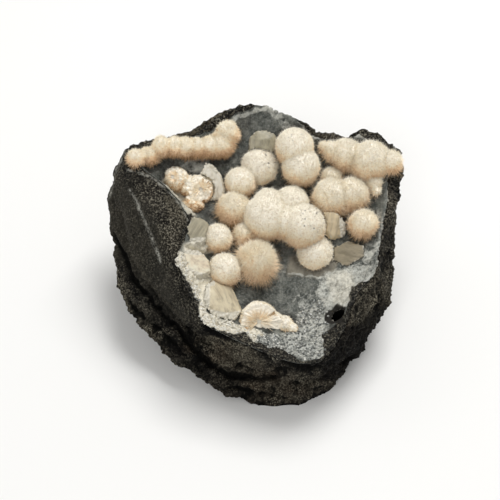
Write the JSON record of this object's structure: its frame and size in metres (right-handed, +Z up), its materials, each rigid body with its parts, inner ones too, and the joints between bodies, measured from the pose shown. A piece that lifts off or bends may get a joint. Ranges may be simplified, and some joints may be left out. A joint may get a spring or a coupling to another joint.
{
  "type": "okenite puffball specimen",
  "caption": "Cream-white okenite needle balls and cloudy crystals in a broken bubble of dark basalt, on a flat base.",
  "frame": {"origin": "on the surface the lump stands on, under the middle of its box", "axes": "+X to the right and +Y to the back as seen in the picture, +Z up"},
  "size_m": [0.1066, 0.0932, 0.0607],
  "materials": {
    "basalt": "rough broken",
    "lining": "fine-grained, frosted in places",
    "okenite": "matte, of fine radiating needles",
    "crystal": "cloudy, see-through at thin edges"
  },
  "bodies": {
    "root": {"basalt_matrix": "basalt", "vug_lining": "lining", "puffball_back": "okenite", "puffballs_back_pair": "okenite", "puffballs_right_bank": "okenite", "puffballs_right_group": "okenite", "puffball_right": "okenite", "puffballs_middle": "okenite", "puffball_front_low": "okenite", "puffball_left_high": "okenite", "puffball_left_middle": "okenite", "puffball_small": "okenite", "puffball_fluffy": "okenite", "puffball_left_small": "okenite", "puffball_left_low": "okenite", "puffballs_broken_left": "okenite", "puffballs_rim_row": "okenite", "puffball_front_broken": "okenite", "crystal_back": "crystal", "crystal_left_back": "crystal", "crystal_right": "crystal", "crystal_right_low": "crystal", "crystal_left_high": "crystal", "crystal_left_low": "crystal", "crystal_front": "crystal"}
  },
  "joints": []
}
